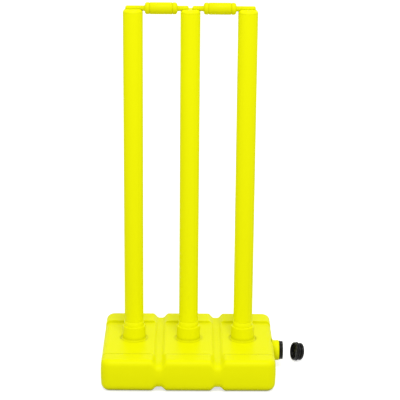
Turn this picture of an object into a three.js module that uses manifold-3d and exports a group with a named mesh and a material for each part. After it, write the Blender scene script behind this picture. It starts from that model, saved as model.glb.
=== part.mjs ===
// A plastic wicket for street and beach cricket: three tube stumps, two bails and a tank base that is
// weighted with water or sand through a side neck.
// Lengths are in millimetres. X runs along the row of stumps, Y away from the batter's side, Z up.
// The origin is on the ground under the middle stump.

import * as THREE from "three";
import { mergeVertices } from "three/addons/utils/BufferGeometryUtils.js";
import Module from "manifold-3d";

const wasm = await Module();
wasm.setup();

// Row of stumps
const STUMP_COUNT = 3;
const STUMP_PITCH = 106.3;
const STUMP_TOP_HEIGHT = 711;

// Base tank: outside
const TANK_WIDTH = 334;
const TANK_DEPTH = 262.5;
const RAIL_HEIGHT = 64.5;
const CHANNEL_DROP = 4;
const FRONT_RAIL_OFFSET = 87;
const REAR_RAIL_OFFSET = 79.3;
const RAIL_FACE_RUN = 2;
const TANK_CORNER_RADIUS = 16.5;
const TANK_BOTTOM_RADIUS = 15.5;
const TANK_TOP_RADIUS = 11.5;
const TANK_PLAN_CROWN = 0.8;
const TANK_WALL_BULGE = 0.7;
const TANK_WALL = 3;

// Valleys that part the tank into one lobe for each stump
const VALLEY_MOUTH_WIDTH = 31;
const VALLEY_FLOOR_WIDTH = 8;
const TOP_VALLEY_DEPTH = 9.2;
const BOTTOM_VALLEY_DEPTH = 8;

// Bosses and wells that hold the stumps
const BOSS_TOP_HEIGHT = 88.2;
const BOSS_TOP_DIAMETER = 44;
const BOSS_WAIST_DIAMETER = 44.8;
const BOSS_FOOT_DIAMETER = 51.6;
const BOSS_FLARE_HEIGHT = 4;
const BOSS_EDGE_RADIUS = 2.2;
const WELL_DEPTH = 49;
const WELL_MOUTH_DIAMETER = 30.8;
const WELL_FLOOR_DIAMETER = 28.6;

// Filler neck
const NECK_AXIS_HEIGHT = 35.3;
const NECK_DIAMETER = 39.6;
const NECK_BORE_DIAMETER = 30.2;
const NECK_LENGTH = 11.7;
const NECK_RIM_RADIUS = 2.2;
const NECK_MOAT_WIDTH = 3.2;
const NECK_MOAT_DEPTH = 1.1;

// Stump tube
const TUBE_DIAMETER = 37;
const TUBE_WALL = 2.6;

// Stump cap
const CAP_SHOULDER_RADIUS = 6.6;
const CAP_SKIRT_LENGTH = 13;
const CAP_WALL = 2.4;
const GROOVE_FLOOR_WIDTH = 6.4;
const GROOVE_MOUTH_WIDTH = 10;
const GROOVE_SLOPE_RISE = 2.6;

// Stump tail
const TAIL_COLLAR_DIAMETER = 41.6;
const TAIL_COLLAR_HEIGHT = 9.4;
const TAIL_COLLAR_SHOULDER = 4.6;
const TAIL_PLUG_LENGTH = 26;
const TAIL_SPIGOT_LENGTH = 43;
const TAIL_WALL = 3;
const TAIL_LEAD_IN = 2.5;

// Bails
const BAIL_BARREL_DIAMETER = 22.2;
const BAIL_OUTER_GAP = 3.5;
const BAIL_INNER_GAP = 5.8;
const BAIL_END_RADIUS = 4.6;
const BAIL_RING_INSET = 9;
const BAIL_RING_WIDTH = 1.6;
const BAIL_RING_DEPTH = 0.7;
const SPIGOT_DIAMETER = 9.3;
const SPIGOT_END_RADIUS = 1.6;
const LONG_SPIGOT_LENGTH = 36;
const SHORT_SPIGOT_LENGTH = 21;
const BAIL_AXIS_RISE = 1.1;

// Stopper
const STOPPER_FLANGE_DIAMETER = 37.4;
const STOPPER_FLANGE_THICKNESS = 2.4;
const STOPPER_FACE_DIAMETER = 35.8;
const STOPPER_FACE_THICKNESS = 4.6;
const STOPPER_EDGE_RADIUS = 1.1;
const STOPPER_DISH_DIAMETER = 29;
const STOPPER_DISH_DEPTH = 3;
const STOPPER_WAIST_DIAMETER = 28.6;
const STOPPER_WAIST_LENGTH = 3.2;
const STOPPER_BEAD_LENGTH = 7;
const STOPPER_FREE_BEAD_DIAMETER = 34.6;
const STOPPER_CORE_DIAMETER = 24;
const STOPPER_CORE_DEPTH = 9;

// Spare stopper, lying beside the neck
const SPARE_GAP = 38;
const SPARE_BACK_OFFSET = 35;
const SPARE_YAW = THREE.MathUtils.degToRad(18);

// Fits
const SEAT_GAP = 0.3;
const CUT_OVERRUN = 5;

// Facets
const TUBE_SIDES = 32;
const SMALL_SIDES = 24;
const ARC_STEPS = 4;
const CORNER_STEPS = 4;
const SIDE_STEPS = 3;
const VALLEY_STEPS = 10;
const EDGE_STEPS = 2;

const QUARTER_TURN = Math.PI / 2;
const HALF_TURN = Math.PI;

// Sizes worked out from the ones above
const channelHeight = RAIL_HEIGHT - CHANNEL_DROP;
const tubeBottom = BOSS_TOP_HEIGHT + SEAT_GAP + TAIL_COLLAR_HEIGHT + SEAT_GAP;
const capRimHeight = STUMP_TOP_HEIGHT - CAP_SHOULDER_RADIUS;
const tubeTop = capRimHeight - SEAT_GAP;
const tubeRadius = TUBE_DIAMETER / 2;
const tubeBoreRadius = tubeRadius - TUBE_WALL;
const plugRadius = tubeBoreRadius - SEAT_GAP;
const wellFloorHeight = BOSS_TOP_HEIGHT - WELL_DEPTH;
const bailAxisHeight = STUMP_TOP_HEIGHT + BAIL_AXIS_RISE;
const boreRadius = NECK_BORE_DIAMETER / 2;
const neckRootX = TANK_WIDTH / 2;
const neckFaceX = neckRootX + NECK_LENGTH;
const stumpPlaces = Array.from({ length: STUMP_COUNT }, (_, i) => (i - (STUMP_COUNT - 1) / 2) * STUMP_PITCH);

// Shapes

// A closed three.js geometry as a solid that can be joined and cut.
function solid(geometry) {
  const bare = geometry.index ? geometry.toNonIndexed() : geometry.clone();
  for (const name of Object.keys(bare.attributes)) {
    if (name !== "position") bare.deleteAttribute(name);
  }
  const merged = mergeVertices(bare, SEAT_GAP / 1000);
  return new wasm.Manifold(
    new wasm.Mesh({
      numProp: 3,
      vertProperties: merged.attributes.position.array,
      triVerts: new Uint32Array(merged.index.array),
    }),
  );
}

function geometryOf(body) {
  const { vertProperties, triVerts } = body.getMesh();
  const geometry = new THREE.BufferGeometry();
  geometry.setAttribute("position", new THREE.BufferAttribute(new Float32Array(vertProperties), 3));
  geometry.setIndex(new THREE.BufferAttribute(new Uint32Array(triVerts), 1));
  geometry.computeVertexNormals();
  return geometry;
}

// Points on an arc in a profile plane, both ends included.
function arc(x, y, radius, from, to, steps = ARC_STEPS) {
  return Array.from({ length: steps + 1 }, (_, i) => {
    const angle = from + ((to - from) * i) / steps;
    return [x + radius * Math.cos(angle), y + radius * Math.sin(angle)];
  });
}

// A profile of [radius, height] points, rising on its outside, turned about Z.
function turned(profile, sides = TUBE_SIDES) {
  const points = profile.map(([radius, height]) => new THREE.Vector2(Math.max(radius, 0), height));
  return new THREE.LatheGeometry(points, sides).rotateX(QUARTER_TURN);
}

// The same, turned about X, with the profile's height running along +X.
function turnedAlongX(profile, sides = SMALL_SIDES) {
  return turned(profile, sides).rotateY(QUARTER_TURN);
}

// A closed outline of [across, up] points swept straight along Y, centred on zero.
function sweptAlongY(outline, length) {
  const shape = new THREE.Shape(outline.map(([x, z]) => new THREE.Vector2(x, z)));
  const geometry = new THREE.ExtrudeGeometry(shape, { depth: length, bevelEnabled: false });
  return geometry.rotateX(QUARTER_TURN).translate(0, length / 2, 0);
}

// A closed outline of [along Y, up] points swept straight along X, centred on zero.
function sweptAlongX(outline, length) {
  const mirrored = outline.map(([y, z]) => [-y, z]);
  return sweptAlongY(mirrored, length).rotateZ(-QUARTER_TURN);
}

// A skin over a stack of outlines that have equal counts of points, closed at both ends by a fan.
function lofted(rings) {
  const count = rings[0].length;
  const positions = rings.flat(2);
  const index = [];
  for (let r = 0; r + 1 < rings.length; r++) {
    for (let i = 0; i < count; i++) {
      const [a, b] = [r * count + i, r * count + ((i + 1) % count)];
      index.push(a, b, b + count, a, b + count, a + count);
    }
  }
  const ends = [
    [0, rings[0], false],
    [(rings.length - 1) * count, rings.at(-1), true],
  ];
  for (const [start, ring, up] of ends) {
    const hub = positions.length / 3;
    positions.push(0, 0, ring[0][2]);
    for (let i = 0; i < count; i++) {
      const [a, b] = [start + i, start + ((i + 1) % count)];
      index.push(hub, up ? a : b, up ? b : a);
    }
  }
  const geometry = new THREE.BufferGeometry();
  geometry.setAttribute("position", new THREE.Float32BufferAttribute(positions, 3));
  geometry.setIndex(index);
  return geometry;
}

// Base tank

// Plan of the tank drawn in by an inset: round corners joined by sides that bow out to their middle.
function tankPlan(inset, height) {
  const halfWidth = TANK_WIDTH / 2 - TANK_PLAN_CROWN - TANK_WALL_BULGE - inset;
  const halfDepth = TANK_DEPTH / 2 - TANK_PLAN_CROWN - TANK_WALL_BULGE - inset;
  const radius = Math.max(TANK_CORNER_RADIUS - inset, SEAT_GAP);
  const centres = [
    [halfWidth - radius, radius - halfDepth],
    [halfWidth - radius, halfDepth - radius],
    [radius - halfWidth, halfDepth - radius],
    [radius - halfWidth, radius - halfDepth],
  ];
  const corners = centres.map(([x, y], i) =>
    arc(x, y, radius, (i - 1) * QUARTER_TURN, i * QUARTER_TURN, CORNER_STEPS),
  );
  const points = [];
  corners.forEach((corner, i) => {
    points.push(...corner);
    const [x0, y0] = corner.at(-1);
    const [x1, y1] = corners[(i + 1) % corners.length][0];
    const outward = [Math.cos(i * QUARTER_TURN), Math.sin(i * QUARTER_TURN)];
    for (let k = 1; k < SIDE_STEPS; k++) {
      const s = k / SIDE_STEPS;
      const bow = TANK_PLAN_CROWN * 4 * s * (1 - s);
      points.push([x0 + (x1 - x0) * s + outward[0] * bow, y0 + (y1 - y0) * s + outward[1] * bow]);
    }
  });
  return points.map(([x, y]) => [x, y, height]);
}

// The tank without its valleys, up to a given top, with its skin moved in by a wall.
function tankBlock(top, skin) {
  const bottomRadius = TANK_BOTTOM_RADIUS - skin;
  const topRadius = TANK_TOP_RADIUS - skin;
  const lower = arc(bottomRadius, skin + bottomRadius, bottomRadius, -QUARTER_TURN, -HALF_TURN);
  const upper = arc(topRadius, top - skin - topRadius, topRadius, HALF_TURN, QUARTER_TURN);
  const [from, to] = [lower.at(-1)[1], upper[0][1]];
  const swell = ([inset, z]) => {
    const s = THREE.MathUtils.clamp((z - from) / (to - from), 0, 1);
    return [inset - TANK_WALL_BULGE * 4 * s * (1 - s), z];
  };
  const wall = [1, 2, 3].map((k) => [0, from + ((to - from) * k) / 4]);
  const rings = [...lower, ...wall, ...upper].map(swell);
  return solid(lofted(rings.map(([inset, z]) => tankPlan(inset + skin, z))));
}

// The space over the front and the rear rail, from their sloping faces out past the tank.
function railSpaces(skin) {
  const reach = TANK_DEPTH / 2 + CUT_OVERRUN;
  const [foot, roof] = [channelHeight - CUT_OVERRUN, RAIL_HEIGHT + CUT_OVERRUN];
  const slope = RAIL_FACE_RUN / CHANNEL_DROP;
  const spaceOver = (offset, side) => {
    const face = (z) => side * (offset + skin + (z - channelHeight) * slope);
    const outline = [
      [face(foot), foot],
      [side * reach, foot],
      [side * reach, roof],
      [face(roof), roof],
    ];
    return solid(sweptAlongX(side > 0 ? outline : outline.reverse(), TANK_WIDTH + CUT_OVERRUN));
  };
  return spaceOver(FRONT_RAIL_OFFSET, -1).add(spaceOver(REAR_RAIL_OFFSET, 1));
}

// The tank's block with its two rails, its skin moved in by a wall.
function railedBlock(skin) {
  return tankBlock(channelHeight, skin).add(tankBlock(RAIL_HEIGHT, skin).intersect(railSpaces(skin)));
}

// A valley's cutter: a smooth trough of the given depth, upside down for the underside.
function valleyCutter(x, brink, depth, side, skin) {
  const [mouth, floor] = [VALLEY_MOUTH_WIDTH / 2 + skin, VALLEY_FLOOR_WIDTH / 2 + skin];
  const trough = Array.from({ length: VALLEY_STEPS + 1 }, (_, i) => {
    const across = mouth * ((2 * i) / VALLEY_STEPS - 1);
    const run = THREE.MathUtils.clamp((Math.abs(across) - floor) / (mouth - floor), 0, 1);
    const sunk = (depth + skin) * (1 + Math.cos(run * HALF_TURN)) / 2;
    return [across, brink - side * sunk];
  });
  const over = brink + side * CUT_OVERRUN;
  const outline = [...trough, [mouth, over], [-mouth, over]];
  const swept = sweptAlongY(side > 0 ? outline : outline.reverse(), TANK_DEPTH + CUT_OVERRUN);
  return solid(swept.translate(x, 0, 0));
}

function valleyCutters(skin) {
  const lobeWidth = TANK_WIDTH / STUMP_COUNT;
  return Array.from({ length: STUMP_COUNT - 1 }, (_, i) => {
    const x = (i + 1) * lobeWidth - TANK_WIDTH / 2;
    const top = valleyCutter(x, RAIL_HEIGHT, TOP_VALLEY_DEPTH, 1, skin);
    return top.add(valleyCutter(x, 0, BOTTOM_VALLEY_DEPTH, -1, skin));
  });
}

// A boss: flared foot, slightly tapered waist and a rounded top edge.
function boss() {
  const [foot, waist] = [BOSS_FOOT_DIAMETER / 2, BOSS_WAIST_DIAMETER / 2];
  const root = channelHeight - TANK_WALL / 2;
  const flare = Array.from({ length: ARC_STEPS + 1 }, (_, i) => {
    const angle = (QUARTER_TURN * i) / ARC_STEPS;
    const radius = foot - (foot - waist) * Math.sin(angle);
    return [radius, channelHeight + BOSS_FLARE_HEIGHT * (1 - Math.cos(angle))];
  });
  const edgeCentre = [BOSS_TOP_DIAMETER / 2 - BOSS_EDGE_RADIUS, BOSS_TOP_HEIGHT - BOSS_EDGE_RADIUS];
  const edge = arc(...edgeCentre, BOSS_EDGE_RADIUS, 0, QUARTER_TURN, EDGE_STEPS);
  return solid(turned([[0, root], [foot, root], ...flare, ...edge, [0, BOSS_TOP_HEIGHT]]));
}

// The space in a boss that takes a stump's tail, grown by the wall that stands round it inside the tank.
function well(skin, top) {
  const floor = wellFloorHeight - skin;
  const [floorRadius, mouthRadius] = [WELL_FLOOR_DIAMETER / 2 + skin, WELL_MOUTH_DIAMETER / 2 + skin];
  return solid(turned([[0, floor], [floorRadius, floor], [mouthRadius, top], [0, top]]));
}

// The filler neck's outside, with a rounded rim, from inside the tank's wall.
function neck() {
  const radius = NECK_DIAMETER / 2;
  const root = neckRootX - TANK_WALL;
  const rim = arc(radius - NECK_RIM_RADIUS, neckFaceX - NECK_RIM_RADIUS, NECK_RIM_RADIUS, 0, QUARTER_TURN);
  return solid(turnedAlongX([[0, root], [radius, root], ...rim, [0, neckFaceX]], TUBE_SIDES));
}

// The shallow ring pressed into the side wall round the neck's root.
function neckMoat() {
  const inner = NECK_DIAMETER / 2;
  const outer = inner + NECK_MOAT_WIDTH;
  const floor = neckRootX - NECK_MOAT_DEPTH;
  const out = neckRootX + CUT_OVERRUN;
  const ring = [[inner, floor], [outer, floor], [outer + NECK_MOAT_DEPTH, out], [inner, out], [inner, floor]];
  return solid(turnedAlongX(ring, TUBE_SIDES));
}

function neckBore() {
  const [inside, out] = [neckRootX - TANK_WALL - CUT_OVERRUN, neckFaceX + CUT_OVERRUN];
  return solid(turnedAlongX([[0, inside], [boreRadius, inside], [boreRadius, out], [0, out]], TUBE_SIDES));
}

function baseTank() {
  const atNeck = (body) => body.translate([0, 0, NECK_AXIS_HEIGHT]);
  let outside = railedBlock(0);
  let cavity = railedBlock(TANK_WALL);
  valleyCutters(0).forEach((cutter) => (outside = outside.subtract(cutter)));
  valleyCutters(TANK_WALL).forEach((cutter) => (cavity = cavity.subtract(cutter)));
  outside = outside.subtract(atNeck(neckMoat())).add(atNeck(neck()));
  for (const x of stumpPlaces) {
    outside = outside.add(boss().translate([x, 0, 0]));
    cavity = cavity.subtract(well(TANK_WALL, RAIL_HEIGHT).translate([x, 0, 0]));
  }
  let tank = outside.subtract(cavity).subtract(atNeck(neckBore()));
  for (const x of stumpPlaces) {
    tank = tank.subtract(well(0, BOSS_TOP_HEIGHT + SEAT_GAP).translate([x, 0, 0]));
  }
  return geometryOf(tank);
}

// Stumps

function stumpTube() {
  return turned([
    [tubeBoreRadius, tubeBottom],
    [tubeRadius, tubeBottom],
    [tubeRadius, tubeTop],
    [tubeBoreRadius, tubeTop],
    [tubeBoreRadius, tubeBottom],
  ]);
}

// The domed cap pressed into a tube's top, with the straight groove that the bails lie in.
function stumpCap() {
  const skirtFoot = capRimHeight - CAP_SKIRT_LENGTH;
  const coreRadius = plugRadius - CAP_WALL;
  const coreRoof = capRimHeight - CAP_WALL;
  const shoulder = arc(tubeRadius - CAP_SHOULDER_RADIUS, capRimHeight, CAP_SHOULDER_RADIUS, 0, QUARTER_TURN);
  const outside = [[coreRadius, skirtFoot], [plugRadius, skirtFoot], [plugRadius, capRimHeight], ...shoulder];
  const body = solid(turned([...outside, [0, STUMP_TOP_HEIGHT], [0, coreRoof], [coreRadius, coreRoof], outside[0]]));
  const [floor, mouth] = [GROOVE_FLOOR_WIDTH / 2, GROOVE_MOUTH_WIDTH / 2];
  const grooveFloor = bailAxisHeight - SPIGOT_DIAMETER / 2 - SEAT_GAP;
  const slopeTop = grooveFloor + GROOVE_SLOPE_RISE;
  const lip = bailAxisHeight + CUT_OVERRUN;
  const right = [[floor, grooveFloor], [mouth, slopeTop], [mouth, lip]];
  const left = [[-mouth, lip], [-mouth, slopeTop], [-floor, grooveFloor]];
  const cutter = sweptAlongX([...right, ...left], TUBE_DIAMETER + CUT_OVERRUN);
  return geometryOf(body.subtract(solid(cutter)));
}

// The tail: a cored plug up inside the tube, a round-shouldered collar on the boss and a tapered spigot
// down the well.
function stumpTail() {
  const collarFoot = BOSS_TOP_HEIGHT + SEAT_GAP;
  const collarTop = collarFoot + TAIL_COLLAR_HEIGHT;
  const collarRadius = TAIL_COLLAR_DIAMETER / 2;
  const shoulder = arc(0, 0, 1, 0, QUARTER_TURN, EDGE_STEPS).map(([across, up]) => [
    tubeRadius + (collarRadius - tubeRadius) * across,
    collarTop - TAIL_COLLAR_SHOULDER * (1 - up),
  ]);
  const plugTop = collarTop + TAIL_PLUG_LENGTH;
  const tip = collarFoot - TAIL_SPIGOT_LENGTH;
  const taper = (WELL_MOUTH_DIAMETER - WELL_FLOOR_DIAMETER) / (2 * WELL_DEPTH);
  const wellRadius = (z) => WELL_FLOOR_DIAMETER / 2 + (z - wellFloorHeight) * taper;
  const spigotRadius = (z) => wellRadius(z) - SEAT_GAP;
  const coreRadius = plugRadius - TAIL_WALL - (plugRadius - spigotRadius(tip + TAIL_LEAD_IN));
  const coreFloor = tip + TAIL_WALL;
  return turned([
    [0, tip],
    [spigotRadius(tip) - TAIL_LEAD_IN, tip],
    [spigotRadius(tip + TAIL_LEAD_IN), tip + TAIL_LEAD_IN],
    [spigotRadius(collarFoot), collarFoot],
    [collarRadius, collarFoot],
    ...shoulder,
    [plugRadius, collarTop],
    [plugRadius, plugTop],
    [coreRadius, plugTop],
    [coreRadius, coreFloor],
    [0, coreFloor],
  ]);
}

// Bails

// A turned bail along X: a barrel with round ends and two fine rings, a long and a short spigot.
// The barrel is centred on zero and the long spigot points along -X.
function bail() {
  const barrelLength = STUMP_PITCH - TUBE_DIAMETER - BAIL_OUTER_GAP - BAIL_INNER_GAP;
  const end = barrelLength / 2;
  const radius = BAIL_BARREL_DIAMETER / 2;
  const thin = SPIGOT_DIAMETER / 2;
  const corner = end - BAIL_END_RADIUS;
  const neckRadius = radius - BAIL_END_RADIUS;
  const ring = (x) => [
    [radius, x - BAIL_RING_WIDTH / 2],
    [radius - BAIL_RING_DEPTH, x],
    [radius, x + BAIL_RING_WIDTH / 2],
  ];
  const [longTip, shortTip] = [-end - LONG_SPIGOT_LENGTH, end + SHORT_SPIGOT_LENGTH];
  const tipRadius = thin - SPIGOT_END_RADIUS;
  const profile = [
    [0, longTip],
    ...arc(tipRadius, longTip + SPIGOT_END_RADIUS, SPIGOT_END_RADIUS, -QUARTER_TURN, 0, EDGE_STEPS),
    [thin, -end],
    ...arc(neckRadius, -corner, BAIL_END_RADIUS, -QUARTER_TURN, 0),
    ...ring(BAIL_RING_INSET - end),
    ...ring(end - BAIL_RING_INSET),
    ...arc(neckRadius, corner, BAIL_END_RADIUS, 0, QUARTER_TURN),
    [thin, end],
    ...arc(tipRadius, shortTip - SPIGOT_END_RADIUS, SPIGOT_END_RADIUS, 0, QUARTER_TURN, EDGE_STEPS),
    [0, shortTip],
  ];
  return turnedAlongX(profile, SMALL_SIDES);
}

// Stoppers

// A moulded stopper along X: a round flange with a dished face on the +X side, a waist and a soft bead.
// The flange's seat is at zero and the bead's diameter says whether the bore squeezes it.
function stopper(beadDiameter) {
  const [flange, face, waist] = [STOPPER_FLANGE_DIAMETER, STOPPER_FACE_DIAMETER, STOPPER_WAIST_DIAMETER].map(
    (diameter) => diameter / 2,
  );
  const [bead, core, dish] = [beadDiameter, STOPPER_CORE_DIAMETER, STOPPER_DISH_DIAMETER].map((d) => d / 2);
  const plugEnd = -STOPPER_WAIST_LENGTH - STOPPER_BEAD_LENGTH;
  const top = STOPPER_FLANGE_THICKNESS + STOPPER_FACE_THICKNESS;
  const edge = STOPPER_EDGE_RADIUS;
  const roll = Math.min(STOPPER_BEAD_LENGTH / 2, bead - core - SEAT_GAP);
  const rollEnd = Math.acos(THREE.MathUtils.clamp((waist - bead + roll) / roll, 0, 1));
  const dishFloor = top - STOPPER_DISH_DEPTH;
  return turnedAlongX(
    [
      [0, plugEnd + STOPPER_CORE_DEPTH],
      [core, plugEnd + STOPPER_CORE_DEPTH],
      [core, plugEnd],
      ...arc(bead - roll, plugEnd + roll, roll, -QUARTER_TURN, rollEnd),
      [waist, 0],
      ...arc(flange - edge, edge, edge, -QUARTER_TURN, 0, EDGE_STEPS),
      ...arc(flange - edge, STOPPER_FLANGE_THICKNESS - edge, edge, 0, QUARTER_TURN, EDGE_STEPS),
      [face, STOPPER_FLANGE_THICKNESS],
      ...arc(face - edge, top - edge, edge, 0, QUARTER_TURN, EDGE_STEPS),
      [dish, top],
      [dish - STOPPER_DISH_DEPTH, dishFloor],
      [0, dishFloor],
    ],
    SMALL_SIDES,
  );
}

// How far the free stopper leans when it lies on its bead and on its flange's seat edge.
function stopperLean() {
  const roll = STOPPER_BEAD_LENGTH / 2;
  const along = STOPPER_EDGE_RADIUS + STOPPER_WAIST_LENGTH + roll;
  const rise = STOPPER_FLANGE_DIAMETER / 2 - STOPPER_EDGE_RADIUS - (STOPPER_FREE_BEAD_DIAMETER / 2 - roll);
  return Math.atan2(rise, along) - Math.asin((roll - STOPPER_EDGE_RADIUS) / Math.hypot(rise, along));
}

// Finishes

const LEMON = { color: 0xf0f20a, roughness: 0.42, metalness: 0 };
const BLACK_RUBBER = { color: 0x17181a, roughness: 0.55, metalness: 0 };

const wicket = new THREE.Group();

function place(name, geometry, finish, parent = wicket) {
  const mesh = new THREE.Mesh(geometry, new THREE.MeshStandardMaterial(finish));
  mesh.name = name;
  parent.add(mesh);
  return mesh;
}

// Assembly

place("base_tank", baseTank(), LEMON);

const stumpNames = ["left", "middle", "right"];
stumpPlaces.forEach((x, i) => {
  const stump = new THREE.Group();
  stump.position.x = x;
  wicket.add(stump);
  const name = stumpNames[i] ?? String(i + 1);
  place(`stump_tube_${name}`, stumpTube(), LEMON, stump);
  place(`stump_cap_${name}`, stumpCap(), LEMON, stump);
  place(`stump_tail_${name}`, stumpTail(), LEMON, stump);
});

const bailCentre = STUMP_PITCH / 2 + (BAIL_INNER_GAP - BAIL_OUTER_GAP) / 2;
const bailLeft = place("bail_left", bail(), LEMON);
bailLeft.position.set(-bailCentre, 0, bailAxisHeight);
const bailRight = place("bail_right", bail(), LEMON);
bailRight.rotation.z = HALF_TURN;
bailRight.position.set(bailCentre, 0, bailAxisHeight);

const stopperFitted = place("stopper_fitted", stopper(NECK_BORE_DIAMETER - 2 * SEAT_GAP), BLACK_RUBBER);
stopperFitted.position.set(neckFaceX + SEAT_GAP, 0, NECK_AXIS_HEIGHT);

const spareGeometry = stopper(STOPPER_FREE_BEAD_DIAMETER);
spareGeometry.rotateY(-stopperLean()).rotateZ(HALF_TURN + SPARE_YAW);
spareGeometry.computeBoundingBox();
const stopperSpare = place("stopper_spare", spareGeometry, BLACK_RUBBER);
stopperSpare.position.set(neckFaceX + SPARE_GAP, SPARE_BACK_OFFSET, -spareGeometry.boundingBox.min.z);

export default wicket;
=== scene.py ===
import math

import bmesh
import bpy
import numpy as np
from mathutils import Matrix, Vector


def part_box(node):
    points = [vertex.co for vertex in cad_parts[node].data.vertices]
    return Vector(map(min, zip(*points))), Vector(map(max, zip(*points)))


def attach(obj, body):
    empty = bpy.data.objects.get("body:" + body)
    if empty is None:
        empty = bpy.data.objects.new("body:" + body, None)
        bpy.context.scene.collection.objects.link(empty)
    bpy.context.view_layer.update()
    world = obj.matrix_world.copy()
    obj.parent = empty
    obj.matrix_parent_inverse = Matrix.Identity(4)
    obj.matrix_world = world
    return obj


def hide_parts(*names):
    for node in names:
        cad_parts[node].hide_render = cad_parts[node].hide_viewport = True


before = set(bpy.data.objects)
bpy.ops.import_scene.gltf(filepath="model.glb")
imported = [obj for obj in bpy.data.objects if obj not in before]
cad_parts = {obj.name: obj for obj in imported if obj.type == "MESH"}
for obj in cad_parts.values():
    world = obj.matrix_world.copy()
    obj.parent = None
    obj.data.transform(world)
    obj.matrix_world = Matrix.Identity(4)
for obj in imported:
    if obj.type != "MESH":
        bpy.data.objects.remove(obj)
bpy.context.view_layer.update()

# The view
# A long lens stands 2.8 m in front of the wicket and looks down on it by 17 degrees, with the whole
# row of stumps in the frame. The wicket's foot lies low and a little left of the frame's middle.
photo_size = 400
lens_in_pixels = 1532.2
camera_dip = math.radians(17.0)
camera_turn = math.radians(0.60)
camera_roll = math.radians(-0.515)
origin_right = -0.02055
origin_up = -0.32855
origin_ahead = 3.0290

dip_cos, dip_sin = math.cos(camera_dip), math.sin(camera_dip)
turn_cos, turn_sin = math.cos(camera_turn), math.sin(camera_turn)
ahead = Vector((dip_cos * turn_sin, dip_cos * turn_cos, -dip_sin))
level_right = Vector((turn_cos, -turn_sin, 0))
level_up = Vector((dip_sin * turn_sin, dip_sin * turn_cos, dip_cos))
view_right = level_right * math.cos(camera_roll) - level_up * math.sin(camera_roll)
view_up = level_right * math.sin(camera_roll) + level_up * math.cos(camera_roll)
eye = -(level_right * origin_right + level_up * origin_up + ahead * origin_ahead)

camera_data = bpy.data.cameras.new("camera")
camera_data.sensor_width = 36
camera_data.lens = camera_data.sensor_width * lens_in_pixels / photo_size
camera = bpy.data.objects.new("camera", camera_data)
camera.matrix_world = Matrix(
    (
        (view_right.x, view_up.x, -ahead.x, eye.x),
        (view_right.y, view_up.y, -ahead.y, eye.y),
        (view_right.z, view_up.z, -ahead.z, eye.z),
        (0, 0, 0, 1),
    )
)
bpy.context.scene.collection.objects.link(camera)
bpy.context.scene.camera = camera

# Light and floor
# Plain studio light: a bright even surround and one broad soft lamp high over the front. The floor is
# pale card that the camera sees as white, and it keeps the wicket's soft shadow.
surround_level = 0.76
lamp_place, lamp_aim = Vector((0.6, -5.0, 8.6)), Vector((0, 0, 0.25))
lamp_size, lamp_watts = 3.6, 448
floor_reach = 14.0
floor_colour, floor_lift = (0.62, 0.62, 0.62), 0.66


def camera_only(tree):
    """One for rays that the camera, a mirror or glass sends, zero for the light that falls on things."""
    path = tree.nodes.new("ShaderNodeLightPath")
    seen = tree.nodes.new("ShaderNodeMath")
    seen.operation = "MAXIMUM"
    both = tree.nodes.new("ShaderNodeMath")
    both.operation = "MAXIMUM"
    tree.links.new(path.outputs["Is Camera Ray"], seen.inputs[0])
    tree.links.new(path.outputs["Is Glossy Ray"], seen.inputs[1])
    tree.links.new(seen.outputs[0], both.inputs[0])
    tree.links.new(path.outputs["Is Transmission Ray"], both.inputs[1])
    return both.outputs[0]


world = bpy.data.worlds.new("studio")
world.use_nodes = True
bpy.context.scene.world = world
world_tree = world.node_tree
world_tree.nodes.clear()
world_out = world_tree.nodes.new("ShaderNodeOutputWorld")
world_mix = world_tree.nodes.new("ShaderNodeMixShader")
lit = world_tree.nodes.new("ShaderNodeBackground")
lit.inputs["Strength"].default_value = surround_level
seen_white = world_tree.nodes.new("ShaderNodeBackground")
for background in (lit, seen_white):
    background.inputs["Color"].default_value = (1, 1, 1, 1)
world_tree.links.new(camera_only(world_tree), world_mix.inputs["Fac"])
world_tree.links.new(lit.outputs[0], world_mix.inputs[1])
world_tree.links.new(seen_white.outputs[0], world_mix.inputs[2])
world_tree.links.new(world_mix.outputs[0], world_out.inputs["Surface"])

lamp_data = bpy.data.lights.new("lamp_over", "AREA")
lamp_data.shape = "DISK"
lamp_data.size = lamp_size
lamp_data.energy = lamp_watts
lamp = bpy.data.objects.new("lamp_over", lamp_data)
lamp.location = lamp_place
lamp.rotation_euler = (lamp_aim - lamp_place).to_track_quat("-Z", "Y").to_euler()
bpy.context.scene.collection.objects.link(lamp)

floor_mesh = bpy.data.meshes.new("floor")
corners = [(-1, -1), (1, -1), (1, 1), (-1, 1)]
floor_mesh.from_pydata([(x * floor_reach, y * floor_reach, 0) for x, y in corners], [], [(0, 1, 2, 3)])
floor = bpy.data.objects.new("floor", floor_mesh)
bpy.context.scene.collection.objects.link(floor)

card = bpy.data.materials.new("white_card")
card.use_nodes = True
card_tree = card.node_tree
card_tree.nodes.clear()
card_out = card_tree.nodes.new("ShaderNodeOutputMaterial")
card_face = card_tree.nodes.new("ShaderNodeBsdfDiffuse")
card_face.inputs["Color"].default_value = (*floor_colour, 1)
card_glow = card_tree.nodes.new("ShaderNodeEmission")
card_lift = card_tree.nodes.new("ShaderNodeMath")
card_lift.operation = "MULTIPLY"
card_lift.inputs[1].default_value = floor_lift
card_sum = card_tree.nodes.new("ShaderNodeAddShader")
card_tree.links.new(camera_only(card_tree), card_lift.inputs[0])
card_tree.links.new(card_lift.outputs[0], card_glow.inputs["Strength"])
card_tree.links.new(card_face.outputs[0], card_sum.inputs[0])
card_tree.links.new(card_glow.outputs[0], card_sum.inputs[1])
card_tree.links.new(card_sum.outputs[0], card_out.inputs["Surface"])
floor_mesh.materials.append(card)

bpy.context.scene.view_settings.view_transform = "Standard"

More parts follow.
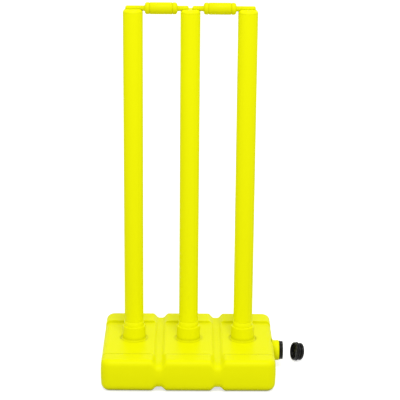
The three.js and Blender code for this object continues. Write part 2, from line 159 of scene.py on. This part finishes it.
# Tank skin
# The base is one hollow blow-moulding of lemon polyethylene, about 3 mm thick. Its rounded block has a
# rail front and rear, a wide channel between them, and valleys above and below between its three lobes.
# The mould leaves a soft satin skin with a slight ripple.
tank_width, tank_depth = 0.3338, 0.2623
rail_height, channel_drop = 0.0645, 0.0040
front_rail_foot, rear_rail_foot, rail_face_run = -0.0880, 0.0803, 0.0018
plan_radius, top_radius, bottom_radius = 0.0165, 0.0115, 0.0155
plan_crown, wall_bulge, tank_wall = 0.0008, 0.0007, 0.003
valley_mouth, valley_floor = 0.0310, 0.0070
valley_top_depth, valley_bottom_depth = 0.0092, 0.0080
valley_front_dip, valley_front_run = 0.0020, 0.028
crease_place, crease_width, crease_depth = -0.0905, 0.0026, 0.0019
crossing_power, least_step, weld_gap = 6, 0.0002, 0.000002
stump_pitch = 0.1063
neck_height, neck_radius, bore_radius = 0.0353, 0.0198, 0.0151
moat_radius, moat_width, moat_depth = 0.0216, 0.0013, 0.0009
right_wall_reach, moat_fade = 0.004, 0.003
boss_hole_radius, neck_hole_radius = 0.0205, 0.0170

stump_places = (-stump_pitch, 0.0, stump_pitch)
valley_places = (-tank_width / 6, tank_width / 6)


def smooth(t):
    """The soft step 3t^2 - 2t^3, held at 0 and 1 outside its run."""
    t = np.clip(t, 0, 1)
    return t * t * (3 - 2 * t)


def arc(across, along, radius, start, end, steps):
    """Points of a circle's arc in a profile plane, from one angle in degrees to another, ends included."""
    angle = np.radians(np.linspace(start, end, steps + 1))
    return np.column_stack((across + radius * np.cos(angle), along + radius * np.sin(angle)))


def stations(low, high, count, *fine):
    """Ordered stations from low to high: an even run, and for each (place, reach, count) a finer one."""
    runs = [np.linspace(low, high, count)]
    runs += [np.linspace(place - reach, place + reach, number) for place, reach, number in fine]
    every = np.unique(np.round(np.clip(np.concatenate(runs), low, high), 5))
    kept = every[np.concatenate(([True], np.diff(every) > least_step))]
    kept[0], kept[-1] = low, high
    return kept


def valley(x, depth):
    """Depth of the valleys at x: a cosine trough with a flat floor, centred on each valley's place."""
    sunk = np.zeros_like(x)
    for place in valley_places:
        run = (np.abs(x - place) - valley_floor / 2) / ((valley_mouth - valley_floor) / 2)
        sunk = np.maximum(sunk, depth * (1 + np.cos(math.pi * np.clip(run, 0, 1))) / 2)
    return sunk


def tank_top(x, y):
    """Height of the tank's top: the rails' height less the channel's drop or the valley's depth, whichever
    is deeper, blended as a sixth-power mean so that no sharp line is left where they cross. A fine crease,
    a bell curve in section, follows the front rail's rear edge and runs out in the valleys."""
    over_front = smooth((y - front_rail_foot) / rail_face_run + 0.5)
    over_rear = smooth((rear_rail_foot - y) / rail_face_run + 0.5)
    drop = channel_drop * over_front * over_rear
    dip = valley_front_dip * smooth((-y - tank_depth / 2 + valley_front_run) / valley_front_run)
    sunk = valley(x, valley_top_depth) * (1 + dip / valley_top_depth)
    crease = crease_depth * np.exp(-(((y - crease_place) / (crease_width / 2)) ** 2))
    crease = crease * (1 - smooth(sunk / (valley_top_depth / 2)))
    crossed = (drop**crossing_power + sunk**crossing_power) ** (1 / crossing_power)
    return rail_height - crossed - crease


def tank_foot(x):
    """Height of the tank's underside: nothing under the lobes, and the lower valleys' depth between them."""
    return valley(x, valley_bottom_depth)


def mesh_object(name, points, faces, weld=0.0):
    """A smooth-shaded mesh object from arrays of points and faces, its doubles merged where weld says."""
    mesh = bpy.data.meshes.new(name)
    mesh.from_pydata(np.asarray(points).tolist(), [], np.asarray(faces).tolist())
    if weld:
        bm = bmesh.new()
        bm.from_mesh(mesh)
        bmesh.ops.remove_doubles(bm, verts=bm.verts, dist=weld)
        bmesh.ops.recalc_face_normals(bm, faces=bm.faces)
        bm.to_mesh(mesh)
        bm.free()
    mesh.shade_smooth()
    piece = bpy.data.objects.new(name, mesh)
    bpy.context.scene.collection.objects.link(piece)
    return piece


def grid_faces(rows, columns, start=0, around=False):
    """Quads of a grid of points, closed along its columns where around is true."""
    index = start + np.arange(rows * columns).reshape(rows, columns)
    if around:
        index = np.column_stack((index, index[:, :1]))
    corners = (index[:-1, :-1], index[:-1, 1:], index[1:, 1:], index[1:, :-1])
    return np.stack(corners, -1).reshape(-1, 4)


half_x = tank_width / 2 - plan_crown - wall_bulge
half_y = tank_depth / 2 - plan_crown - wall_bulge
core_x, core_y = half_x - plan_radius, half_y - plan_radius

# Finer runs of stations, each (place, reach, count), over the valleys, the rails' faces and the neck's wall.
valley_runs = [(place, valley_mouth * 0.56, 23) for place in valley_places]
x_lines = stations(-core_x, core_x, 44, *valley_runs)
y_runs = ((front_rail_foot, 0.0050, 37), (rear_rail_foot, 0.002, 15), (0.0, 0.024, 33))
y_lines = stations(-core_y, core_y, 34, *y_runs)

# The skin is a core rectangle grown outwards: each point of the loop round it moves along its own normal
# by a profile that runs over the top edge, down the wall and in under the foot.
corner_turns = np.radians(np.linspace(0, 90, 11))
loop_points, loop_normals = [], []
sides = (
    (np.column_stack((np.full_like(y_lines, core_x), y_lines)), 0),
    (np.column_stack((x_lines[::-1], np.full_like(x_lines, core_y))), 90),
    (np.column_stack((np.full_like(y_lines, -core_x), y_lines[::-1])), 180),
    (np.column_stack((x_lines, np.full_like(x_lines, -core_y))), 270),
)
for line, heading in sides:
    turn = math.radians(heading)
    loop_points.append(line)
    loop_normals.append(np.tile((math.cos(turn), math.sin(turn)), (len(line), 1)))
    fan = turn + corner_turns[1:-1]
    loop_points.append(np.tile(line[-1], (len(fan), 1)))
    loop_normals.append(np.column_stack((np.cos(fan), np.sin(fan))))
loop_points = np.concatenate(loop_points)
loop_normals = np.concatenate(loop_normals)

bend = np.radians(np.linspace(0, 90, 10))
wall_run = np.linspace(0, 1, 25)[1:-1]
out_top = np.linspace(0, plan_radius - top_radius, 5)[:-1]
out_foot = np.linspace(plan_radius - bottom_radius, 0, 4)[1:]
reach = np.concatenate(
    (
        out_top,
        plan_radius - top_radius * (1 - np.sin(bend)),
        plan_radius + wall_bulge * 4 * wall_run * (1 - wall_run),
        plan_radius - bottom_radius * (1 - np.cos(bend)),
        out_foot,
    )
)
below_top = np.concatenate(
    (
        np.zeros_like(out_top),
        top_radius * (1 - np.cos(bend)),
        np.full_like(wall_run, top_radius),
        np.full_like(bend, top_radius),
        np.full_like(out_foot, top_radius),
    )
)
over_foot = np.concatenate(
    (
        np.full(len(out_top) + len(bend) + len(wall_run), bottom_radius),
        bottom_radius * (1 - np.sin(bend)),
        np.zeros_like(out_foot),
    )
)
share_down = np.concatenate(
    (
        np.zeros(len(out_top) + len(bend)),
        wall_run,
        np.ones(len(bend) + len(out_foot)),
    )
)
strip_xy = loop_points[None] + reach[:, None, None] * loop_normals[None]
strip_x, strip_y = strip_xy[..., 0], strip_xy[..., 1]
high = tank_top(strip_x, strip_y) - below_top[:, None]
low = tank_foot(strip_x) + over_foot[:, None]
strip_z = high * (1 - share_down[:, None]) + low * share_down[:, None]
strip = np.stack((strip_x, strip_y, strip_z), -1).reshape(-1, 3)

core_grid_x, core_grid_y = np.meshgrid(x_lines, y_lines)
lid = np.stack((core_grid_x, core_grid_y, tank_top(core_grid_x, core_grid_y)), -1).reshape(-1, 3)
sole = np.stack((core_grid_x, core_grid_y, tank_foot(core_grid_x)), -1).reshape(-1, 3)
skin = np.concatenate((strip, lid, sole))
rows, columns = len(y_lines), len(x_lines)
skin_faces = np.concatenate(
    (
        grid_faces(len(reach), len(loop_points), 0, True)[:, ::-1],
        grid_faces(rows, columns, len(strip)),
        grid_faces(rows, columns, len(strip) + len(lid))[:, ::-1],
    )
)

# The sides bow out to their middle, and a shallow moat is pressed into the right wall round the neck.
bow_x = plan_crown * (skin[:, 0] / half_x) * (1 - np.clip(skin[:, 1] / half_y, -1, 1) ** 2)
bow_y = plan_crown * (skin[:, 1] / half_y) * (1 - np.clip(skin[:, 0] / half_x, -1, 1) ** 2)
skin[:, 0] += bow_x
skin[:, 1] += bow_y
from_neck = np.hypot(skin[:, 1], skin[:, 2] - neck_height)
on_right_wall = smooth((skin[:, 0] - half_x + right_wall_reach) / moat_fade)
skin[:, 0] -= moat_depth * on_right_wall * np.exp(-(((from_neck - moat_radius) / moat_width) ** 2))

# Openings where the neck and the bosses' wells pass through the skin, hidden under their roots.
centres = skin[skin_faces].mean(1)
open_faces = (centres[:, 0] > half_x - right_wall_reach) & (
    np.hypot(centres[:, 1], centres[:, 2] - neck_height) < neck_hole_radius
)
for place in stump_places:
    near = np.hypot(centres[:, 0] - place, centres[:, 1]) < boss_hole_radius
    open_faces |= near & (centres[:, 2] > rail_height / 2)
tank_skin = mesh_object("tank_skin", skin, skin_faces[~open_faces], weld_gap)
wall = tank_skin.modifiers.new("wall", "SOLIDIFY")
wall.thickness = tank_wall
wall.offset = -1


def plastic(
    name, colour, deep_colour, patch_size, gloss, shine, grain_size, grain_depth,
    stretch=(1, 1, 1), crease_shade=0.0, shade_reach=0.010, shade_top=(9.0, 10.0),
):
    """Moulded plastic: two close shades in soft patches, roughness that varies a little, a fine grain and a
    slight ripple, all from noise on object coordinates. stretch draws the noise out, as extrusion does.
    crease_shade is the share of the colour that an ambient occlusion node takes away as painted shade in
    folds narrower than shade_reach, and it fades out between the two heights of shade_top."""
    material = bpy.data.materials.new(name)
    material.use_nodes = True
    tree = material.node_tree
    face = tree.nodes["Principled BSDF"]
    face.inputs["Specular IOR Level"].default_value = shine
    where = tree.nodes.new("ShaderNodeTexCoord")
    drawn = tree.nodes.new("ShaderNodeMapping")
    drawn.inputs["Scale"].default_value = stretch
    tree.links.new(where.outputs["Object"], drawn.inputs["Vector"])

    def noise(size, detail):
        """A noise field with features of the given size in metres."""
        field = tree.nodes.new("ShaderNodeTexNoise")
        field.inputs["Scale"].default_value = 1 / size
        field.inputs["Detail"].default_value = detail
        tree.links.new(drawn.outputs[0], field.inputs["Vector"])
        return field.outputs["Fac"]

    shades = tree.nodes.new("ShaderNodeValToRGB")
    shades.color_ramp.elements[0].position = 0.30
    shades.color_ramp.elements[0].color = (*deep_colour, 1)
    shades.color_ramp.elements[1].position = 0.70
    shades.color_ramp.elements[1].color = (*colour, 1)
    tree.links.new(noise(patch_size, 3), shades.inputs["Fac"])
    # Painted shade: an ambient occlusion node darkens the colour in folds and creases, fading out above a
    # given height.
    if crease_shade:
        crease_occlusion = tree.nodes.new("ShaderNodeAmbientOcclusion")
        crease_occlusion.samples = 12
        crease_occlusion.inputs["Distance"].default_value = shade_reach
        painted_shade = tree.nodes.new("ShaderNodeMapRange")
        painted_shade.inputs["From Min"].default_value = 0.40
        painted_shade.inputs["From Max"].default_value = 0.95
        painted_shade.inputs["To Min"].default_value = -crease_shade
        painted_shade.inputs["To Max"].default_value = 0
        tree.links.new(crease_occlusion.outputs["AO"], painted_shade.inputs["Value"])
        height = tree.nodes.new("ShaderNodeSeparateXYZ")
        tree.links.new(where.outputs["Object"], height.inputs[0])
        shade_height_fade = tree.nodes.new("ShaderNodeMapRange")
        shade_height_fade.inputs["From Min"].default_value, shade_height_fade.inputs["From Max"].default_value = shade_top
        shade_height_fade.inputs["To Min"].default_value = 1
        shade_height_fade.inputs["To Max"].default_value = 0
        tree.links.new(height.outputs["Z"], shade_height_fade.inputs["Value"])
        unshaded_share = tree.nodes.new("ShaderNodeMath")
        unshaded_share.operation = "MULTIPLY_ADD"
        unshaded_share.inputs[2].default_value = 1
        tree.links.new(painted_shade.outputs[0], unshaded_share.inputs[0])
        tree.links.new(shade_height_fade.outputs[0], unshaded_share.inputs[1])
        shaded_colour = tree.nodes.new("ShaderNodeVectorMath")
        shaded_colour.operation = "SCALE"
        tree.links.new(shades.outputs["Color"], shaded_colour.inputs[0])
        tree.links.new(unshaded_share.outputs[0], shaded_colour.inputs["Scale"])
        tree.links.new(shaded_colour.outputs[0], face.inputs["Base Color"])
    else:
        tree.links.new(shades.outputs["Color"], face.inputs["Base Color"])
    rough = tree.nodes.new("ShaderNodeMapRange")
    rough.inputs["To Min"].default_value = gloss[0]
    rough.inputs["To Max"].default_value = gloss[1]
    tree.links.new(noise(patch_size / 3, 4), rough.inputs["Value"])
    tree.links.new(rough.outputs[0], face.inputs["Roughness"])
    grain = tree.nodes.new("ShaderNodeBump")
    grain.inputs["Strength"].default_value = 0.5
    grain.inputs["Distance"].default_value = grain_depth
    tree.links.new(noise(grain_size, 2), grain.inputs["Height"])
    ripple = tree.nodes.new("ShaderNodeBump")
    ripple.inputs["Strength"].default_value = 0.5
    ripple.inputs["Distance"].default_value = grain_depth * 6
    tree.links.new(noise(patch_size / 2, 1), ripple.inputs["Height"])
    tree.links.new(ripple.outputs[0], grain.inputs["Normal"])
    tree.links.new(grain.outputs[0], face.inputs["Normal"])
    return material


tank_lemon, tank_lemon_deep = (0.815, 0.825, 0.0010), (0.800, 0.810, 0.0008)
# Painted shade: the tank's colour darkens in its creases, valleys, rail steps and round the bosses' feet,
# fading out up the bosses.
tank_plastic = plastic(
    "tank_plastic", tank_lemon, tank_lemon_deep, 0.060, (0.34, 0.46), 0.03, 0.0012, 0.00003,
    crease_shade=0.46, shade_top=(0.070, 0.080),
)


def finish_piece(piece, body, material, slot, *nodes):
    """Gives a piece its material, the body that it moves with and the nodes that it stands for."""
    piece.data.materials.append(material)
    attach(piece, body)
    if nodes:
        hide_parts(*nodes)


finish_piece(tank_skin, "base", tank_plastic, "lemon_tank", "base_tank")

# Bosses and wells
# Three hollow bosses rise from the channel in the same moulding. Each has a flared foot, a tapered waist
# and a rounded ledge round the mouth of the blind well that takes a stump's tail.
boss_top, boss_top_radius, boss_waist_radius, boss_foot_radius = 0.0882, 0.0222, 0.0226, 0.0258
boss_flare, boss_edge, well_lip = 0.0040, 0.0022, 0.0010
well_mouth_radius, well_floor_radius, well_depth = 0.0154, 0.0143, 0.0490
foot_sink, round_sides = 0.0001, 96


def turned(name, profile, sides, to_place, closed=False):
    """A profile of (radius, height) points turned about the Z axis, then carried by a 4x4 matrix. A closed
    profile makes a ring, and an open one starts and ends on the axis."""
    profile = np.asarray(profile, float)
    if closed:
        profile = np.concatenate((profile, profile[:1]))
    turn = np.linspace(0, 2 * math.pi, sides, endpoint=False)
    radius, height = profile[:, :1], profile[:, 1:]
    along = np.broadcast_to(height, (len(profile), sides))
    grid = np.stack((radius * np.cos(turn), radius * np.sin(turn), along), -1)
    points = grid.reshape(-1, 3) @ np.asarray(to_place)[:3, :3].T + np.asarray(to_place)[:3, 3]
    return mesh_object(name, points, grid_faces(len(profile), sides, 0, True), weld_gap)


channel_height = rail_height - channel_drop
well_floor_height = boss_top - well_depth
flare_turn = np.radians(np.linspace(90, 0, 9))
flare = np.column_stack(
    (
        boss_foot_radius - (boss_foot_radius - boss_waist_radius) * np.sin(flare_turn),
        channel_height - foot_sink + boss_flare * (1 - np.cos(flare_turn)),
    )
)
boss_profile = np.concatenate(
    (
        [(0, well_floor_height), (well_floor_radius, well_floor_height)],
        arc(well_mouth_radius + well_lip, boss_top - well_lip, well_lip, 180, 90, 4),
        arc(boss_top_radius - boss_edge, boss_top - boss_edge, boss_edge, 90, 0, 6),
        flare,
        [(boss_foot_radius, channel_height - tank_wall)],
        [(well_mouth_radius + tank_wall, channel_height - tank_wall)],
        [(well_floor_radius + tank_wall, well_floor_height - tank_wall)],
        [(0, well_floor_height - tank_wall)],
    )
)
for number, place in enumerate(stump_places):
    boss = turned(f"boss_{number + 1}", boss_profile, round_sides, Matrix.Translation((place, 0, 0)))
    finish_piece(boss, "base", tank_plastic, "lemon_tank")

# Filler neck
# A short thick spout on the right wall, moulded with the tank. It has a rolled root, a rounded rim and
# a plain bore that opens into the hollow.
neck_length, neck_root_fillet, neck_rim, bore_lip = 0.0118, 0.0016, 0.0022, 0.0012
neck_root, root_overlap = tank_width / 2, 0.0005
neck_face = neck_root + neck_length
root_turn = np.radians(np.linspace(0, 90, 6))
root_roll = np.column_stack(
    (
        neck_radius + neck_root_fillet * (1 - np.sin(root_turn)),
        neck_root - root_overlap + neck_root_fillet * (1 - np.cos(root_turn)),
    )
)
neck_profile = np.concatenate(
    (
        root_roll,
        arc(neck_radius - neck_rim, neck_face - neck_rim, neck_rim, 0, 90, 8),
        arc(bore_radius + bore_lip, neck_face - bore_lip, bore_lip, 90, 180, 5),
        [(bore_radius, neck_root - tank_wall)],
        [(neck_radius + neck_root_fillet, neck_root - tank_wall)],
    )
)
along_x = Matrix.Rotation(math.pi / 2, 4, "Y")
at_neck = Matrix.Translation((0, 0, neck_height)) @ along_x
neck = turned("filler_neck", neck_profile, round_sides, at_neck, True)
finish_piece(neck, "base", tank_plastic, "lemon_tank")

# Stump tubes
# Extruded lemon tube, 37 mm across with a wall of 2.6 mm, cut square and lightly deburred at both ends.
# The die leaves faint streaks along the length.
tube_radius, tube_wall, tube_edge = 0.0185, 0.0026, 0.0002
tube_bore = tube_radius - tube_wall
sides_and_bodies = (("left", "stump_left"), ("middle", "base"), ("right", "stump_right"))
lemon, lemon_deep = (0.892, 0.902, 0.0020), (0.872, 0.882, 0.0016)
tube_plastic = plastic(
    "tube_plastic", lemon, lemon_deep, 0.030, (0.34, 0.46), 0.02, 0.0010, 0.00002, (1, 1, 0.05)
)
for (side, body), place in zip(sides_and_bodies, stump_places):
    node = f"stump_tube_{side}"
    low_z, high_z = (corner.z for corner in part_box(node))
    profile = np.concatenate(
        (
            arc(tube_radius - tube_edge, low_z + tube_edge, tube_edge, -90, 0, 3),
            arc(tube_radius - tube_edge, high_z - tube_edge, tube_edge, 0, 90, 3),
            [(tube_bore, high_z), (tube_bore, low_z)],
        )
    )
    tube = turned(node + "_skin", profile, round_sides, Matrix.Translation((place, 0, 0)), True)
    finish_piece(tube, body, tube_plastic, "lemon_tube", node)

# Stump tails
# A moulded lemon tail is pressed into the foot of each tube. Its collar, a little wider than the tube,
# stands on the boss's ledge and carries the tube's end, and its tapered spigot goes down the well.
collar_radius, collar_shoulder = 0.0193, 0.0004
collar_edge, tail_lead = 0.0002, 0.0025
seat_gap, ledge_gap, spigot_play = 0.0003, 0.00005, 0.0004
tail_wall, tail_floor = 0.004, 0.003
moulded_plastic = plastic("moulded_plastic", lemon, lemon_deep, 0.025, (0.32, 0.44), 0.05, 0.0008, 0.00002)
for (side, body), place in zip(sides_and_bodies, stump_places):
    node = f"stump_tail_{side}"
    low_z, high_z = (corner.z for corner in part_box(node))
    tube_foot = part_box(f"stump_tube_{side}")[0].z
    collar_foot, collar_top = boss_top + ledge_gap, tube_foot - seat_gap
    plug = tube_bore - seat_gap
    spigot_root, spigot_tip = well_mouth_radius - spigot_play, well_floor_radius
    core = plug - tail_wall
    shoulder_turn = np.radians(np.linspace(0, 90, 5))
    shoulder = np.column_stack(
        (
            tube_radius + (collar_radius - tube_radius) * np.cos(shoulder_turn),
            collar_top - collar_shoulder * (1 - np.sin(shoulder_turn)),
        )
    )
    profile = np.concatenate(
        (
            [(0, low_z), (spigot_tip - tail_lead, low_z)],
            arc(spigot_tip - tail_lead, low_z + tail_lead, tail_lead, -90, 0, 5),
            [(spigot_root, collar_foot)],
            arc(collar_radius - collar_edge, collar_foot + collar_edge, collar_edge, -90, 0, 3),
            shoulder,
            [(plug, collar_top), (plug, high_z), (core, high_z)],
            [(core, low_z + tail_floor), (0, low_z + tail_floor)],
        )
    )
    tail = turned(node + "_skin", profile, round_sides, Matrix.Translation((place, 0, 0)))
    finish_piece(tail, body, moulded_plastic, "lemon_cap", node)

# Stump caps
# A moulded cap closes each tube's top. Its shoulder rounds over into a low dome, and a straight shallow
# groove across the dome, in line with the row, holds the bails.
cap_shoulder, cap_skirt, skirt_wall, cap_floor = 0.0066, 0.0130, 0.0024, 0.0024
cap_seam, seam_top, seam_foot, cap_weld = 0.00015, 0.00012, 0.00022, 0.000005
bail_radius, bail_axis_rise, groove_gap = 0.0050, 0.0011, 0.0003
groove_lip, lip_reach, cap_rows = 0.0008, 0.0012, 61
stump_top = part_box("stump_cap_middle")[1].z


def softer_low(a, b, blend):
    """The lower of two heights, with the corner between them rounded over the blend's width."""
    share = np.clip(0.5 + 0.5 * (b - a) / blend, 0, 1)
    return b + (a - b) * share - blend * share * (1 - share)


def cap_surface():
    """The dome as rows along the groove: each row spans the circle's chord at its own distance from the
    groove, the shoulder is a circle's arc round a flat crown, and the groove is a round trough."""
    groove = bail_radius + groove_gap
    lips = ((groove, lip_reach, 9), (-groove, lip_reach, 9))
    across = stations(-tube_radius, tube_radius, cap_rows, *lips)
    chord = np.sin(np.radians(np.linspace(-90, 90, cap_rows)))
    half_chord = np.sqrt(np.maximum(tube_radius**2 - across**2, 0))
    x = half_chord[:, None] * chord[None]
    y = np.broadcast_to(across[:, None], x.shape)
    past_crown = np.clip(np.hypot(x, y) - (tube_radius - cap_shoulder), 0, cap_shoulder)
    dome = stump_top - cap_shoulder + np.sqrt(np.maximum(cap_shoulder**2 - past_crown**2, 0))
    trough = stump_top + bail_axis_rise - np.sqrt(np.maximum(groove**2 - y**2, 0))
    trough = np.where(np.abs(y) < groove, trough, stump_top + bail_axis_rise)
    return np.stack((x, y, softer_low(dome, trough, groove_lip)), -1)


dome = cap_surface()
rows, columns = dome.shape[:2]
rim = np.concatenate((dome[:, -1], dome[::-1, 0]))
outward = rim[:, :2] / np.maximum(np.linalg.norm(rim[:, :2], axis=1), 1e-9)[:, None]
rim_height, skirt_radius = stump_top - cap_shoulder, tube_bore - seat_gap
skirt_profile = np.array(
    (
        (tube_radius, rim_height - seam_top),
        (tube_radius - cap_seam, rim_height - seam_foot),
        (skirt_radius, rim_height - seam_foot),
        (skirt_radius, rim_height - cap_skirt),
        (skirt_radius - skirt_wall, rim_height - cap_skirt),
        (skirt_radius - skirt_wall, rim_height - cap_floor),
        (0, rim_height - cap_floor),
    )
)
skirt_xy = skirt_profile[:, :1, None] * outward[None]
skirt_z = np.broadcast_to(skirt_profile[:, 1:, None], (len(skirt_profile), len(outward), 1))
skirt = np.concatenate((skirt_xy, skirt_z), -1)
cap_points = np.concatenate((dome.reshape(-1, 3), rim, skirt.reshape(-1, 3)))
skirt_start = rows * columns
cap_faces = np.concatenate(
    (
        grid_faces(rows, columns),
        grid_faces(len(skirt_profile) + 1, len(rim), skirt_start, True)[:, ::-1],
    )
)
for (side, body), place in zip(sides_and_bodies, stump_places):
    node = f"stump_cap_{side}"
    cap = mesh_object(node + "_skin", cap_points + (place, 0, 0), cap_faces, cap_weld)
    finish_piece(cap, body, moulded_plastic, "lemon_cap", node)

# Bails
# Each bail is turned from lemon plastic: a barrel with rolled ends and a fine ring cut near each end, a
# long spigot over the outer stump and a short one over the middle stump.
barrel_radius, barrel_end, ring_inset = 0.0111, 0.0046, 0.0090
ring_width, ring_depth, spigot_end = 0.0024, 0.0011, 0.0034
outer_gap, inner_gap = 0.0035, 0.0058
long_spigot, short_spigot, spigot_root_run = 0.036, 0.021, 0.0008
half_barrel = (stump_pitch - 2 * tube_radius - outer_gap - inner_gap) / 2
bail_height = stump_top + bail_axis_rise


def ring_cut(at):
    """A shallow V with soft edges, cut round the barrel at a distance from its middle."""
    run = np.linspace(-1, 1, 9)
    depth = ring_depth * (1 + np.cos(math.pi * run)) / 2
    return np.column_stack((barrel_radius - depth, at + run * ring_width / 2))


tip_radius = bail_radius - spigot_end
long_tip, short_tip = -half_barrel - long_spigot, half_barrel + short_spigot
bail_profile = np.concatenate(
    (
        [(0, long_tip)],
        arc(tip_radius, long_tip + spigot_end, spigot_end, -90, 0, 6),
        [(bail_radius, -half_barrel - spigot_root_run)],
        arc(barrel_radius - barrel_end, barrel_end - half_barrel, barrel_end, -90, 0, 10),
        ring_cut(ring_inset - half_barrel),
        ring_cut(half_barrel - ring_inset),
        arc(barrel_radius - barrel_end, half_barrel - barrel_end, barrel_end, 0, 90, 10),
        [(bail_radius, half_barrel + spigot_root_run)],
        arc(tip_radius, short_tip - spigot_end, spigot_end, 0, 90, 6),
        [(0, short_tip)],
    )
)
bail_middle = stump_pitch / 2 + (inner_gap - outer_gap) / 2
bail_lemon, bail_lemon_deep = (0.805, 0.800, 0.0020), (0.790, 0.785, 0.0016)
# Painted shade: the bails' colour darkens in the ring cuts and where the spigots lie close to the caps.
bail_plastic = plastic(
    "bail_plastic", bail_lemon, bail_lemon_deep, 0.025, (0.34, 0.46), 0.03, 0.0008, 0.00002,
    crease_shade=0.22, shade_reach=0.003,
)
for side, place, heading in (("left", -bail_middle, 0), ("right", bail_middle, math.pi)):
    carried = Matrix.Translation((place, 0, bail_height)) @ Matrix.Rotation(heading, 4, "Z") @ along_x
    bail = turned(f"bail_{side}_skin", bail_profile, 72, carried)
    finish_piece(bail, f"bail_{side}", bail_plastic, "lemon_cap", f"bail_{side}")

# Stoppers
# Soft black moulded stoppers: a round flange with a slightly smaller dished face, a waist and a rolled
# bead that the bore squeezes. One closes the neck, and a spare lies on its side beside it.
flange_radius, flange_thick, face_radius, face_thick = 0.0187, 0.0024, 0.0179, 0.0046
stopper_edge, dish_radius, dish_depth, dish_slope = 0.0011, 0.0158, 0.0056, 0.0012
waist_radius, waist_length, bead_length = 0.0143, 0.0032, 0.0070
free_bead_radius, fitted_bead_radius = 0.0173, 0.0148
stopper_core, core_depth, core_edge, waist_nick = 0.0120, 0.0090, 0.0001, 0.0004
face_rise, dish_lip, dish_fillet, flange_rest = 0.0002, 0.0005, 0.0009, 0.0001
spare_gap, spare_back, spare_yaw = 0.0378, 0.035, math.radians(18)


def stopper_profile(bead_radius):
    """A stopper's outline, from the floor of its hollow plug round the bead, the waist and the flange to the
    middle of its dish. The bead is a circle's arc that ends where it comes down to the waist's radius."""
    plug_end = -waist_length - bead_length
    face_top = flange_thick + face_thick
    roll = min(bead_length / 2, bead_radius - stopper_core - seat_gap)
    roll_end = math.degrees(math.acos((waist_radius - bead_radius + roll) / roll))
    dish_floor = face_top - dish_depth
    return np.concatenate(
        (
            [(0, plug_end + core_depth), (stopper_core, plug_end + core_depth)],
            [(stopper_core, plug_end + core_edge), (stopper_core + core_edge, plug_end)],
            arc(bead_radius - roll, plug_end + roll, roll, -90, roll_end, 12),
            [(waist_radius, -waist_nick)],
            arc(flange_radius - stopper_edge, stopper_edge, stopper_edge, -90, 0, 6),
            arc(flange_radius - stopper_edge, flange_thick - stopper_edge, stopper_edge, 0, 90, 6),
            [(face_radius, flange_thick + face_rise)],
            arc(face_radius - stopper_edge, face_top - stopper_edge, stopper_edge, 0, 90, 6),
            arc(dish_radius, face_top - dish_lip, dish_lip, 90, 180, 3),
            arc(dish_radius - dish_slope - dish_fillet, dish_floor + dish_fillet, dish_fillet, 0, -90, 4),
            [(0, dish_floor)],
        )
    )


black, black_deep = (0.0070, 0.0070, 0.0074), (0.0050, 0.0050, 0.0053)
rubber = plastic("black_stopper", black, black_deep, 0.012, (0.24, 0.32), 0.16, 0.0006, 0.00002)
fitted_at = Matrix.Translation((neck_face + seat_gap, 0, neck_height)) @ along_x
fitted = turned("stopper_fitted_skin", stopper_profile(fitted_bead_radius), round_sides, fitted_at)
finish_piece(fitted, "stopper", rubber, "black_stopper", "stopper_fitted")

lean_roll = bead_length / 2
lean_along = stopper_edge + flange_rest + waist_length + lean_roll
lean_rise = flange_radius - stopper_edge - (free_bead_radius - lean_roll)
lean_span = math.hypot(lean_rise, lean_along)
lean = math.atan2(lean_rise, lean_along) - math.asin((lean_roll - stopper_edge) / lean_span)
spare_turn = Matrix.Rotation(math.pi + spare_yaw, 4, "Z") @ Matrix.Rotation(-lean, 4, "Y") @ along_x
spare_profile = stopper_profile(free_bead_radius)
down = np.asarray(spare_turn)[2, :3]
lowest = (spare_profile[:, 1] * down[2] - spare_profile[:, 0] * math.hypot(down[0], down[1])).min()
spare_at = Matrix.Translation((neck_face + spare_gap, spare_back, -lowest)) @ spare_turn
spare = turned("stopper_spare_skin", spare_profile, round_sides, spare_at)
finish_piece(spare, "spare_stopper", rubber, "black_stopper", "stopper_spare")
